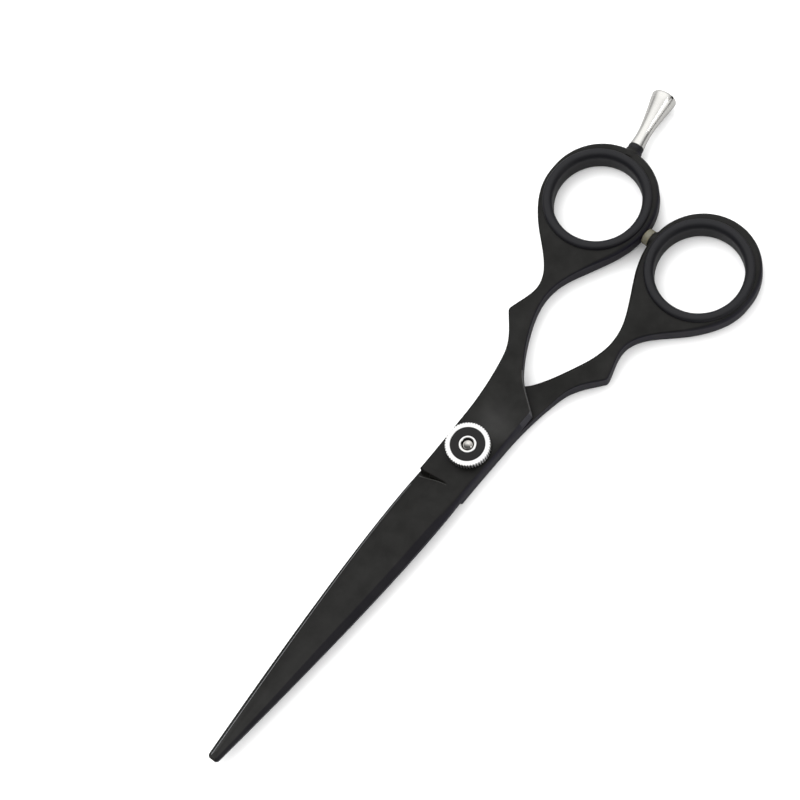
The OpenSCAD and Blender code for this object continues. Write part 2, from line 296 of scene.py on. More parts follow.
def half_thickness(y):
    """Height of the outer face: thinner towards the tip, and thinner at the handle's waist."""
    waist = smooth(20, WAIST_Y - 4, y) * (1 - smooth(WAIST_Y + 4, 57, y))
    body = mix(HALF_T, RING_HALF_T, smooth(46, 57, y))
    return along_blade(1, TIP_T / HALF_T, y) * mix(body, WAIST_HALF_T, waist)


def top_z(p):
    """Outer face of the finger half, with the notch and the ground face beyond it."""
    x, y = p[:, 0], p[:, 1]
    flat = half_thickness(y)
    strip_x = -edge_at(y) + along_blade(*STRIP_W, y)
    share = np.clip((x - strip_x) / (along_blade(*RIDGE_X, y) - strip_x), 0, 1)
    face = STRIP_Z + (flat - STRIP_Z) * (1 - (1 - share) ** 1.55)
    down = (notch_line(x) - y) / notch_run(x)
    rest = np.interp(down, (0, 0.25), (1, 0))
    groove = np.interp(down, (0, 0.25, 0.6, 0.85, 1.0, 1.4), (0, -1, -0.9, 0.12, 0.24, 0)) * GROOVE
    ground = face + (flat - face) * rest + groove * (1 - share) ** 0.4
    return np.where(y < notch_line(x), ground, flat)


def bottom_z(p):
    """Lower face of the finger half: ride face at blade and lap, then the ramp to full thickness."""
    x, y = p[:, 0], p[:, 1]
    width = edge_at(y) + back_at(y)
    share = np.clip((x + edge_at(y)) / width, 0, 1)
    hollow = HOLLOW * np.sin(pi * share) * smooth(-14, -22, y) * along_blade(1, 0.4, y)
    ride = RIDE_GAP + np.where(y < NOTCH_Y, hollow, 0)
    return mix(ride, -half_thickness(y), smooth(RAMP_START, RAMP_START + RAMP_RUN, p @ RAMP_DIR))


# ------------------------------------------------ filling a face

def inside(points, loop):
    """True for each point that lies in the closed loop."""
    x, y = points[:, 0][:, None], points[:, 1][:, None]
    x0, y0 = loop[:, 0], loop[:, 1]
    x1, y1 = np.roll(x0, -1), np.roll(y0, -1)
    rise = np.where(y1 == y0, 1e-12, y1 - y0)
    crosses = ((y0 > y) != (y1 > y)) & (x < (x1 - x0) * (y - y0) / rise + x0)
    return crosses.sum(1) % 2 == 1


def clear_of(points, others, distance):
    """True for each point that stays that far from all the others."""
    if len(others) == 0:
        return np.ones(len(points), bool)
    gap = np.min(np.linalg.norm(points[:, None, :] - others[None, :, :], axis=2), axis=1)
    return gap > distance


def offset(loop, distance):
    """The loop moved inwards by a distance for each point; the loop runs clockwise."""
    ahead = np.roll(loop, -1, 0) - loop
    ahead /= np.linalg.norm(ahead, axis=1)[:, None]
    behind = np.roll(ahead, 1, 0)
    right_a = np.stack([ahead[:, 1], -ahead[:, 0]], 1)
    right_b = np.stack([behind[:, 1], -behind[:, 0]], 1)
    middle = right_a + right_b
    middle /= np.maximum(np.linalg.norm(middle, axis=1), 1e-6)[:, None]
    stretch = 1 / np.maximum((middle * right_a).sum(1), 0.6)
    return loop + middle * (stretch * distance)[:, None]


def blade_rows():
    """Seed points in rows across the blade, so that its long faces get even strips."""
    points = []
    for y in np.arange(NOTCH_Y - 2 * NOTCH_RUN, -REACH + 1, -1.3):
        low = -edge_at(y) + along_blade(*STRIP_W, y)
        high = back_at(y) - back_flat(y)[0]
        for share in np.linspace(0.06, 0.94, 11):
            points.append((mix(low, high, share), y))
    return np.array(points)


def notch_rows():
    """Seed points in the notch's groove, close together along Y."""
    return np.array([(x, notch_line(x) - notch_run(x) * row)
                     for row in (0.25, 0.6, 0.85, 1.0, 1.4) for x in np.arange(-5.4, 5.6, 0.45)])


def handle_grid(spacing=1.1):
    """Seed points in a plain grid over the lap and the handle."""
    xs = np.arange(-RING_X - RING_R, 8, spacing)
    ys = np.arange(NOTCH_Y + 0.8, RING_Y + RING_R + 3, spacing)
    return np.array([(x, y) for x in xs for y in ys])


def fill(outer, holes, creases, seeds):
    """Triangulates the area inside outer and outside the holes, keeping the creases as edges.
    Returns the points, the triangles, and the index of each outer and hole point."""
    loops = [outer] + holes
    fixed = np.vstack(loops + creases) if creases else np.vstack(loops)
    keep = inside(seeds, outer)
    for hole in holes:
        keep &= ~inside(seeds, hole)
    seeds = seeds[keep]
    seeds = seeds[clear_of(seeds, fixed, 0.3)]
    points, edges = [], []
    for chain in loops + creases:
        start = len(points)
        points.extend(map(tuple, chain))
        edges.extend((start + i, start + i + 1) for i in range(len(chain) - 1))
        if any(chain is loop for loop in loops):
            edges.append((start + len(chain) - 1, start))
    points.extend(map(tuple, seeds))
    found, _, triangles, origin, _, _ = delaunay_2d_cdt(
        [Vector(p) for p in points], edges, [], 0, 1e-7, True)
    where = {}
    for new, olds in enumerate(origin):
        for old in olds:
            where[old] = new
    found = np.array([tuple(p) for p in found])
    triangles = np.array(triangles)
    middles = found[triangles].mean(1)
    keep = inside(middles, outer)
    for hole in holes:
        keep &= ~inside(middles, hole)
    loop_index, start = [], 0
    for loop in loops:
        loop_index.append([where[start + i] for i in range(len(loop))])
        start += len(loop)
    return found, triangles[keep], loop_index


class Shell:
    """Collects points and faces of one closed mesh, in millimetres about the ride plane."""

    def __init__(self):
        self.points, self.faces, self.slots = [], [], []

    def ring(self, points):
        """Adds a row of 3-D points and returns their indices."""
        start = len(self.points)
        self.points.extend(tuple(map(float, p)) for p in points)
        return list(range(start, start + len(points)))

    def join(self, a, b, slots=None):
        """Joins two closed rows of equally many points with quads."""
        count = len(a)
        for i in range(count):
            j = (i + 1) % count
            self.faces.append((a[i], a[j], b[j], b[i]))
            self.slots.append(slots[i] if slots is not None else 0)

    def face(self, found, triangles, heights, slots):
        """Adds a filled face with a material slot for each triangle, and returns the new indices of
        its points."""
        index = self.ring(np.column_stack([found, heights]))
        for triangle, slot in zip(triangles, slots):
            self.faces.append(tuple(index[i] for i in triangle))
            self.slots.append(int(slot))
        return index


def add_object(name, data):
    """New object in the scene."""
    obj = bpy.data.objects.new(name, data)
    bpy.context.scene.collection.objects.link(obj)
    return obj


def make_object(name, shell, materials, turned_over=False, sharp=SHARP):
    """Turns a shell into an object in the row frame, with smooth faces and sharp creases."""
    points = np.array(shell.points)
    if turned_over:
        points = points * (-1, 1, -1)
    mesh = bpy.data.meshes.new(name)
    mesh.from_pydata([tuple((p + (0, 0, RIDE)) * MM) for p in points], [], shell.faces)
    for material in materials:
        mesh.materials.append(material)
    mesh.polygons.foreach_set("material_index", shell.slots)
    obj = add_object(name, mesh)
    tidy_mesh(obj, sharp)
    return obj


def tidy_mesh(obj, sharp=SHARP):
    """Welds doubled points, turns faces outwards and marks creases sharper than an angle."""
    bm = bmesh.new()
    bm.from_mesh(obj.data)
    bmesh.ops.remove_doubles(bm, verts=bm.verts, dist=1e-6)
    bmesh.ops.dissolve_degenerate(bm, edges=bm.edges, dist=1e-7)
    bmesh.ops.recalc_face_normals(bm, faces=bm.faces)
    limit = radians(sharp)
    for edge in bm.edges:
        faces = edge.link_faces
        other_slot = len(faces) == 2 and faces[0].material_index != faces[1].material_index
        edge.smooth = not other_slot and edge.calc_face_angle(0) < limit
    for face in bm.faces:
        face.smooth = True
    bm.to_mesh(obj.data)
    bm.free()


def weighted_normals(obj):
    """Keeps flat faces flat where they run into rounded edges."""
    modifier = obj.modifiers.new("weighted_normals", "WEIGHTED_NORMAL")
    modifier.keep_sharp = True
    modifier.weight = 80
    return obj


def combine(obj, tool, operation):
    """Joins a tool to the object or cuts it away, and throws the tool away."""
    modifier = obj.modifiers.new("combine", "BOOLEAN")
    modifier.operation = operation
    modifier.solver = "EXACT"
    modifier.object = tool
    graph = bpy.context.evaluated_depsgraph_get()
    mesh = bpy.data.meshes.new_from_object(obj.evaluated_get(graph))
    obj.modifiers.clear()
    obj.data = mesh
    bpy.data.objects.remove(tool)


def put_in_place(obj, node, body):
    """Lets a piece stand for its CAD node, which it hides, and puts the piece on its body."""
    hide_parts(node)
    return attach(obj, body)


# ------------------------------------------------ turned pieces

def on_rest_axis(point):
    """Places a point whose Z runs out along the finger rest's axis."""
    side = Vector((REST_AXIS.y, -REST_AXIS.x, 0))
    return REST_AT + side * point[0] + Vector((0, 0, 1)) * point[1] + REST_AXIS * point[2]


def on_bumper_axis(point):
    """Places a point whose Z runs from the thumb ring's wall towards the finger ring."""
    start = Vector((RING_X - RING_R, (bumper_low.y + bumper_high.y) / 2, 0))
    return start + Vector((-point[2], point[1], point[0]))


def turned_rows(shell, profile, place, segments, ripple=None):
    """Adds a row of points for each (radius, height) of a profile. ripple(i, angle) changes row i's
    radius round the piece."""
    rows = []
    for i, (radius, height) in enumerate(profile):
        ring = []
        for k in range(segments):
            a = tau * k / segments
            r = radius + (ripple(i, a) if ripple else 0)
            ring.append(place((r * cos(a), r * sin(a), height)))
        rows.append(shell.ring(ring))
    return rows


def turned(name, profile, materials, place=Vector, segments=96, ripple=None, slots=None, sharp=SHARP):
    """A turned piece from a closed profile. slots gives each stretch of the profile its material."""
    shell = Shell()
    rows = turned_rows(shell, profile, place, segments, ripple)
    for i, row in enumerate(rows):
        slot = slots[i] if slots else 0
        shell.join(row, rows[(i + 1) % len(rows)], [slot] * segments)
    return make_object(name, shell, materials, sharp=sharp)


def capped(name, profile, place, segments=48, slot=0):
    """A closed tool turned from an open profile, with flat ends. The faces it leaves in the piece it
    is combined with take that piece's material slot."""
    shell = Shell()
    rows = turned_rows(shell, profile, place, segments)
    for a, b in zip(rows, rows[1:]):
        shell.join(a, b)
    shell.faces += [tuple(rows[0]), tuple(rows[-1])]
    shell.slots = [slot] * len(shell.faces)
    return make_object(name, shell, [COATING, INLAY])


def rounded(corners):
    """A profile with each corner rounded: corners are (radius, height, rounding)."""
    points = []
    count = len(corners)
    for i, (x, y, rounding) in enumerate(corners):
        here = np.array((x, y), float)
        if rounding == 0:
            points.append(here)
            continue
        before = np.array(corners[i - 1][:2], float) - here
        after = np.array(corners[(i + 1) % count][:2], float) - here
        a = here + before / np.linalg.norm(before) * rounding
        b = here + after / np.linalg.norm(after) * rounding
        for t in np.linspace(0, 1, 5):
            points.append((1 - t) ** 2 * a + 2 * t * (1 - t) * here + t * t * b)
    return points


# ------------------------------------------------ materials

GRAIN_DEPTH = 0.00001   # metres, of every material's fine relief


class Nodes:
    """A short way to write a material's node tree."""

    def __init__(self, name):
        self.material = bpy.data.materials.new(name)
        self.material.use_nodes = True
        self.tree = self.material.node_tree
        self.shader = self.tree.nodes["Principled BSDF"]
        self.coords = self.add("ShaderNodeTexCoord")
        self.place = self.coords.outputs["Object"]

    def add(self, kind, inputs=None, **settings):
        node = self.tree.nodes.new(kind)
        for key, value in settings.items():
            setattr(node, key, value)
        for key, value in (inputs or {}).items():
            self.link(value, node.inputs[key])
        return node

    def link(self, value, socket):
        if isinstance(value, bpy.types.NodeSocket):
            self.tree.links.new(value, socket)
        else:
            socket.default_value = value

    def set(self, **values):
        for key, value in values.items():
            self.link(value, self.shader.inputs[key.replace("_", " ")])

    def noise(self, scale, detail=3, roughness=0.5, stretch=(1, 1, 1)):
        place = self.add("ShaderNodeMapping", {"Vector": self.place, "Scale": stretch}).outputs[0]
        return self.add("ShaderNodeTexNoise", {"Vector": place, "Scale": scale, "Detail": detail,
                                               "Roughness": roughness}).outputs["Fac"]

    def ramp(self, value, low, high, low_at=0.3, high_at=0.7):
        return self.add("ShaderNodeMapRange", {"Value": value, "From Min": low_at, "From Max": high_at,
                                               "To Min": low, "To Max": high}).outputs[0]

    def blend(self, value, low, high):
        node = self.add("ShaderNodeMix", {"Factor": value}, data_type="RGBA")
        node.inputs[6].default_value = (*low, 1)
        node.inputs[7].default_value = (*high, 1)
        return node.outputs[2]

    def bump(self, height, strength):
        return self.add("ShaderNodeBump", {"Height": height, "Strength": strength,
                                           "Distance": GRAIN_DEPTH}).outputs[0]

    def lathe_rings(self, scale, distortion, detail=2.0):
        wave = self.add("ShaderNodeTexWave", {"Vector": self.place, "Scale": scale,
                                              "Distortion": distortion, "Detail": detail},
                        wave_type="RINGS", rings_direction="Z")
        return wave.outputs["Fac"]

    def scaled(self, value, factor):
        return self.add("ShaderNodeMath", {0: value, 1: factor}, operation="MULTIPLY").outputs[0]

    def plus(self, a, b):
        return self.add("ShaderNodeMath", {0: a, 1: b}, operation="ADD").outputs[0]


def black_coating(name, plain, gloss):
    """Satin black coating: a fine grain, a soft mottle, more shine towards the tips, and a painted
    violet sheen, a reflection painted into the colour of faces that look to +X."""
    # painted reflection: a violet tint added to the colour of faces that look to +X
    painted_violet_sheen = (0.0015, 0.0010, 0.0060)
    n = Nodes(name)
    mottle = n.noise(170, 4, 0.6)
    grain = n.noise(5200, 2)
    facing = n.add("ShaderNodeSeparateXYZ", {0: n.coords.outputs["Normal"]}).outputs[0]
    colour = n.add("ShaderNodeMix", {"Factor": n.ramp(facing, 0, 1, 0.25, 0.8)}, data_type="RGBA")
    n.link(n.blend(n.ramp(mottle, 0, 1), *plain), colour.inputs[6])
    colour.inputs[7].default_value = (*(c + cast for c, cast in zip(plain[1], painted_violet_sheen)), 1)
    along = n.add("ShaderNodeSeparateXYZ", {0: n.place}).outputs[1]
    shine = n.plus(n.ramp(mottle, gloss - 0.04, gloss + 0.04), n.ramp(along, 0.13, 0, -0.095, -0.02))
    n.set(Base_Color=colour.outputs[2], Specular_IOR_Level=shine,
          Roughness=n.plus(n.ramp(mottle, 0.34, 0.42), n.scaled(grain, 0.08)),
          Normal=n.bump(grain, 0.25))
    return n.material


def honed_steel():
    """Bare honed steel of the cutting edge, with fine lines across the blade."""
    n = Nodes("honed_steel")
    lines = n.noise(900, 3, 0.6, (1, 9, 1))
    n.set(Base_Color=n.blend(lines, (0.30, 0.30, 0.31), (0.42, 0.42, 0.43)), Metallic=1.0,
          Roughness=n.ramp(lines, 0.22, 0.36), Normal=n.bump(lines, 0.3))
    return n.material


def black_rubber():
    """Soft black rubber, faintly blue, with a low sheen."""
    n = Nodes("black_rubber")
    grain = n.noise(3800, 4, 0.6)
    cloud = n.noise(160, 3)
    n.set(Base_Color=n.blend(cloud, (0.0034, 0.0034, 0.0046), (0.0054, 0.0054, 0.0070)),
          Roughness=n.plus(n.ramp(cloud, 0.34, 0.42), n.scaled(grain, 0.06)),
          Normal=n.bump(grain, 0.2), Specular_IOR_Level=0.30)
    return n.material


def milky_silicone():
    """Translucent off-white silicone."""
    n = Nodes("milky_silicone")
    cloud = n.noise(700, 3)
    n.set(Base_Color=n.blend(cloud, (0.13, 0.12, 0.085), (0.18, 0.17, 0.125)), Roughness=0.24,
          Transmission_Weight=0.4, IOR=1.41,
          Subsurface_Weight=0.35, Subsurface_Radius=(0.002, 0.0018, 0.0012), Subsurface_Scale=0.5,
          Normal=n.bump(n.noise(4000), 0.15))
    return n.material


def turned_metal(name, scale, roughness, tone, rod=False):
    """Bright metal with the fine rings a lathe leaves round Z, or bands along Y for a rod."""
    n = Nodes(name)
    rings = n.noise(scale, 2, 0.5, (0.02, 1, 0.02)) if rod else n.lathe_rings(scale, 1.2)
    cloud = n.noise(300, 3)
    n.set(Base_Color=n.blend(cloud, tone, tuple(c + 0.08 for c in tone)), Metallic=1.0,
          Roughness=n.plus(n.ramp(rings, *roughness, 0, 1), n.scaled(cloud, 0.05)),
          Normal=n.bump(rings, 0.06))
    return n.material


def satin_inlay():
    """Satin black of the wheel's inlay, with faint turning rings."""
    n = Nodes("satin_inlay")
    cloud = n.noise(400, 3)
    n.set(Base_Color=n.blend(cloud, (0.0036, 0.0036, 0.0036), (0.0054, 0.0054, 0.0054)),
          Specular_IOR_Level=0.25, Roughness=n.ramp(cloud, 0.36, 0.46),
          Normal=n.bump(n.lathe_rings(1500, 0.6), 0.1))
    return n.material


def natural_nylon():
    """Off-white nylon of the bush and the thrust washer."""
    n = Nodes("natural_nylon")
    cloud = n.noise(900, 3)
    n.set(Base_Color=n.blend(cloud, (0.70, 0.68, 0.60), (0.78, 0.76, 0.69)), Roughness=0.45,
          Subsurface_Weight=0.2, Subsurface_Radius=(0.001, 0.001, 0.0008),
          Normal=n.bump(n.noise(5000), 0.2))
    return n.material


def spring_steel():
    """Plain rolled strip of the spring and the click washer."""
    n = Nodes("spring_steel")
    roll = n.noise(1400, 4, 0.6, (1, 12, 1))
    n.set(Base_Color=n.blend(roll, (0.42, 0.42, 0.43), (0.56, 0.56, 0.57)), Metallic=1.0,
          Roughness=n.ramp(roll, 0.26, 0.42), Normal=n.bump(roll, 0.15))
    return n.material


COATING = black_coating("black_coating", ((0.0028, 0.0027, 0.0023), (0.0048, 0.0046, 0.0040)), 0.21)
# painted highlight: a lighter coating on the diagonal edge up to the lap's corner and on the notch's rim, standing
# in for light caught there
PAINTED_HIGHLIGHT = black_coating("painted_highlight_coating", ((0.024, 0.024, 0.023), (0.034, 0.034, 0.032)), 0.4)
# softer painted highlight: a lighter coating on the facet just beyond the lap's corner, which faces the light
PAINTED_SOFT_HIGHLIGHT = black_coating("painted_soft_highlight_coating", ((0.009, 0.009, 0.0088), (0.014, 0.014, 0.0135)), 0.3)
HONED = honed_steel()
RUBBER = black_rubber()
SILICONE = milky_silicone()
NICKEL = turned_metal("turned_nickel", 2600, (0.12, 0.26), (0.84, 0.84, 0.83))
REST_STEEL = turned_metal("rest_steel", 5200, (0.19, 0.27), (0.76, 0.75, 0.72), rod=True)
BOLT_STEEL = turned_metal("bolt_steel", 3200, (0.08, 0.16), (0.72, 0.70, 0.66))
INLAY = satin_inlay()
NYLON = natural_nylon()
SPRING = spring_steel()


# ------------------------------------------------ the two halves

PLAIN_SLOT, HONED_SLOT, HIGHLIGHT_SLOT, SOFT_HIGHLIGHT_SLOT = range(4)
HIGHLIGHT_POINTS = 15        # points of the outline whose top edge gets a painted highlight, up to the lap's corner
SOFT_HIGHLIGHT_POINTS = 3       # and those just beyond the corner, with a softer painted highlight


def edge_plan(outline, number, notch_end, back):
    """For each outline point: width and height of the top edge and of the bottom edge, how straight
    the top edge is from 0 (rounded) to 1 (flat), and whether it is the honed strip."""
    y = outline[:, 1]
    handle = mix(HANDLE_EDGE, RING_EDGE, smooth(50, 62, y))
    lap = mix(LAP_EDGE, handle, smooth(18, 30, y))
    honed = (number >= 2) & (number <= notch_end - len(NOTCH_MOUTH) - 2)
    on_back = number >= back
    strip = along_blade(*STRIP_W, y)
    flat_in, flat_drop = back_flat(y)
    flat_straight = np.maximum(smooth(5, 13, y), smooth(-10, -22, y))
    top_in = np.where(honed, strip, np.where(on_back, flat_in, lap))
    top_drop = np.where(honed, STRIP_Z - 0.06, np.where(on_back, flat_drop, lap))
    low_in = np.where(honed, strip * 1.2, mix(RIDE_EDGE, handle, smooth(23, 31, y)))
    low_drop = np.where(honed, 0.012, low_in)
    return top_in, top_drop, low_in, low_drop, np.where(on_back, flat_straight, honed), honed


def edge_rows(shell, loop, inset, drop, straight, height, rise, slots):
    """Adds the rows of one rounded edge, from the wall to the face. Returns the indices of the wall's
    row, and the face's loop."""
    inner = offset(loop, inset)
    level = height(inner)
    rows = []
    for step in range(EDGE_STEPS + 1):
        turn = pi / 2 * step / EDGE_STEPS
        share = step / EDGE_STEPS
        part = mix(1 - cos(turn), share, straight)
        left = mix(1 - sin(turn), 1 - share, straight)
        place = offset(loop, inset * part)
        rows.append(shell.ring(np.column_stack([place, level - rise * drop * left])))
    for a, b in zip(rows, rows[1:]):
        shell.join(a, b, slots)
    return rows[0], inner


def circle(centre, radius, count):
    """Points of a circle, anticlockwise."""
    a = np.arange(count) / count * tau
    return np.array(centre) + radius * np.stack([np.cos(a), np.sin(a)], 1)


def crossing_line(loop, start, direction, reach=14, step=0.4):
    """Points along a straight line, kept where they are well inside the loop."""
    ticks = np.arange(-reach, reach, step)[:, None]
    points = start + ticks * direction
    points = points[inside(points, loop)]
    return points[clear_of(points, loop, 0.16)]


def on_notch_rim(points):
    """True for each point on the rim that ends the notch's groove, where a highlight is painted."""
    x, y = points[:, 0], points[:, 1]
    down = (notch_line(x) - y) / notch_run(x)
    return (down > 0.84) & (down < 1.05) & (x < RIDGE_X[0])


def half(name, pivot_top_r, pivot_rows, pivot_low_r, turned_over=False):
    """One half of the shears. Its pivot hole has a radius in each face and (radius, height) rows from
    top to bottom between them."""
    outline, notch_end, back = half_outline()
    number = np.arange(len(outline))
    top_in, top_drop, low_in, low_drop, straight, honed = edge_plan(outline, number, notch_end, back)
    slots = np.where(honed & np.roll(honed, -1), HONED_SLOT, PLAIN_SLOT)
    # painted highlights on the top edge up to the lap's corner and just beyond it
    top_slots = np.select([(number > back - 1 - HIGHLIGHT_POINTS) & (number <= back),
                           (number > back) & (number <= back + SOFT_HIGHLIGHT_POINTS)],
                          [HIGHLIGHT_SLOT, SOFT_HIGHLIGHT_SLOT], slots)
    shell = Shell()
    top_wall, top_loop = edge_rows(shell, outline, top_in, top_drop, straight, top_z, 1, top_slots)
    low_wall, low_loop = edge_rows(shell, outline, low_in, low_drop, honed, bottom_z, -1, slots)
    shell.join(top_wall, low_wall, slots)

    seat = circle((-RING_X, RING_Y), SEAT_R, SEAT_STEPS)
    notch = crossing_line(top_loop, np.array([0.0, notch_line(0.0)]), np.array([1.0, NOTCH_SKEW]))
    notch = notch[notch[:, 0] < along_blade(*RIDGE_X, NOTCH_Y)]
    seeds = np.vstack([blade_rows(), handle_grid()])
    hole_rows = []
    for loop, pivot_r, creases, height, close_seeds in (
            (top_loop, pivot_top_r, [notch], top_z, [notch_rows()]),
            (low_loop, pivot_low_r, [], bottom_z, [])):
        holes = [seat, circle((0, 0), pivot_r, PIVOT_STEPS)]
        found, triangles, (_, seat_edge, pivot_edge) = fill(
            loop, holes, creases, np.vstack(close_seeds + [seeds]))
        # painted highlight on the rim that ends the notch's groove
        highlit = on_notch_rim(found[triangles].mean(1)) & (height is top_z)
        index = shell.face(found, triangles, height(found), np.where(highlit, HIGHLIGHT_SLOT, PLAIN_SLOT))
        hole_rows.append(([index[i] for i in seat_edge], [index[i] for i in pivot_edge]))
    (seat_top, pivot_top), (seat_low, pivot_low) = hole_rows
    shell.join(seat_top, seat_low)
    between = [shell.ring(np.column_stack([circle((0, 0), r, PIVOT_STEPS), np.full(PIVOT_STEPS, z)]))
               for r, z in pivot_rows]
    rows = [pivot_top] + between + [pivot_low]
    for a, b in zip(rows, rows[1:]):
        shell.join(a, b)
    return make_object(name, shell, [COATING, HONED, PAINTED_HIGHLIGHT, PAINTED_SOFT_HIGHLIGHT], turned_over)


def finger_half():
    """Upper half: the bush's bore with the thrust washer's recess, and the collar for the rest."""
    bore_r, recess_r, recess_z, chamfer = 3.22, 5.02, 0.44, 0.12
    obj = half("finger_half_forging", bore_r + chamfer,
               [(bore_r, HALF_T - chamfer), (bore_r, recess_z), (recess_r, recess_z)], recess_r)
    collar = [(2.75, -1.6), (2.6, -0.3), (2.42, 0.05), (2.2, 0.3), (2.12, 0.5), (2.1, 0.85),
              (2.04, 0.96), (1.94, 1.0)]
    combine(obj, capped("collar_tool", collar, on_rest_axis, 72), "UNION")
    combine(obj, capped("stud_hole_tool", [(1.28, -2.8), (1.28, 3.0)], on_rest_axis), "DIFFERENCE")
    tidy_mesh(obj)
    return put_in_place(weighted_normals(obj), "upper_blade", "finger_half")


def thumb_half():
    """Lower half: the bolt head's counterbore, and the boss that the bumper sits on."""
    head_r, head_z, neck_r, chamfer = 4.04, 1.5, 2.32, 0.16
    obj = half("thumb_half_forging", head_r + chamfer,
               [(head_r, HALF_T - chamfer), (head_r, head_z), (neck_r, head_z)], neck_r,
               turned_over=True)
    boss = [(2.6, -1.0), (2.35, 0.05), (2.25, 0.35), (2.15, 0.47), (2.0, 0.5)]
    combine(obj, capped("boss_tool", boss, on_bumper_axis, 64), "UNION")
    combine(obj, capped("stem_hole_tool", [(1.06, -2.0), (1.06, 3.0)], on_bumper_axis), "DIFFERENCE")
    tidy_mesh(obj)
    return put_in_place(weighted_normals(obj), "lower_blade", "thumb_half")


# ------------------------------------------------ rubber and silicone

def ring_insert(name, side, body):
    """Lining of one ring: a straight bore between two rounded lips that lap over the ring."""
    crown = (BORE_R + LIP_R) / 2 + 0.1
    seat = RING_HALF_T + 0.02
    foot, squareness = seat - 0.05, 0.75
    upper = [(BORE_R, BORE_WALL * share) for share in (0, 0.5)]
    upper += [(crown - (crown - BORE_R) * cos(a), BORE_WALL + (LIP_TOP - BORE_WALL) * sin(a))
              for a in np.linspace(0, pi / 2, 15)]
    upper += [(crown + (LIP_R - crown) * sin(a) ** squareness,
               foot + (LIP_TOP - foot) * cos(a) ** squareness)
              for a in np.linspace(0, pi / 2, 13)[1:]]
    upper += [(SEAT_R + 0.6, seat), (SEAT_R + 0.25, seat), (SEAT_R - 0.03, seat - 0.25)]
    lower = [(r, -z) for r, z in reversed(upper[1:])]

    def place(point):
        return Vector((side * RING_X + point[0], RING_Y + point[1], point[2]))

    obj = turned(name + "_rubber", upper + lower, [RUBBER], place, 144, sharp=40)
    return put_in_place(obj, name, body)


def bumper():
    """Domed silicone plug on the thumb ring, with the stem that holds it in the ring's wall."""
    radius = (bumper_high.y - bumper_low.y) / 2
    tip = RING_X - RING_R - bumper_low.x
    profile = [(0.02, -1.75), (0.95, -1.75), (1.03, -1.65), (1.03, 0.52), (radius - 0.12, 0.52),
               (radius, 0.64)]
    profile += [(radius - 0.75 + 0.75 * cos(a), tip - 0.62 + 0.62 * sin(a))
                for a in np.linspace(0, pi / 2, 9)]
    profile += [(0.02, tip)]
    obj = turned("bumper_plug", profile, [SILICONE], on_bumper_axis, 64)
    return put_in_place(obj, "bumper", "thumb_half")


# ------------------------------------------------ finger rest

def rest_profile():
    """Radius and height of the rest beyond its washer: foot, concave flare, rounded end."""
    foot, length, end_r, rim = 2.24, 15.5, 3.25, 1.15
    profile = [(1.72, foot), (1.85, foot + 0.12), (1.86, foot + 0.45)]
    flare = cubic((1.83, 0.8), (1.50, 3.4), (1.60, 6.2), (end_r - 0.03, length - 1.5), 26)
    profile += [(r, foot + h) for r, h in flare]
    profile += [(end_r - rim + rim * cos(a), foot + length - rim + rim * sin(a))
                for a in np.radians(np.linspace(8, 84, 12))]
    profile += [(1.1, foot + length - 0.01), (0.02, foot + length)]
    return profile


def finger_rest():
    """Turned rest with its stud, and the small hole in its rounded rim."""
    stud = [(0.02, -2.6), (1.05, -2.6), (1.25, -2.4), (1.25, 2.24)]
    obj = turned("finger_rest_steel", stud + rest_profile(), [REST_STEEL, INLAY], on_rest_axis, 120)
    hole_r, rim_r, rim_height, around, tilt = 0.42, 3.14, 17.08, radians(44), radians(25)
    mouth = Vector((rim_r * cos(around), rim_r * sin(around), rim_height))
    out = Vector((cos(tilt) * cos(around), cos(tilt) * sin(around), sin(tilt)))
    turn = out.to_track_quat("Z", "Y")

    def place(point):
        return on_rest_axis(mouth + turn @ Vector(point))

    # painted shade: the hole's wall takes the black inlay material, slot 1, so that it looks dark
    combine(obj, capped("pinhole_tool", [(hole_r, -1.2), (hole_r, 1.0)], place, 24, 1), "DIFFERENCE")
    tidy_mesh(obj)
    return put_in_place(obj, "finger_rest", "rest")


def rest_washer():
    """Black washer with softened rims, under the rest."""
    low, high, outer = 1.02, 2.22, 1.96
    profile = rounded([(1.3, low, 0), (outer, low, 0.08), (outer, high, 0.1), (1.3, high, 0)])
    obj = turned("rest_washer_rubber", profile, [RUBBER], on_rest_axis, 72)
    return put_in_place(obj, "rest_washer", "rest_collar")


# ------------------------------------------------ pivot

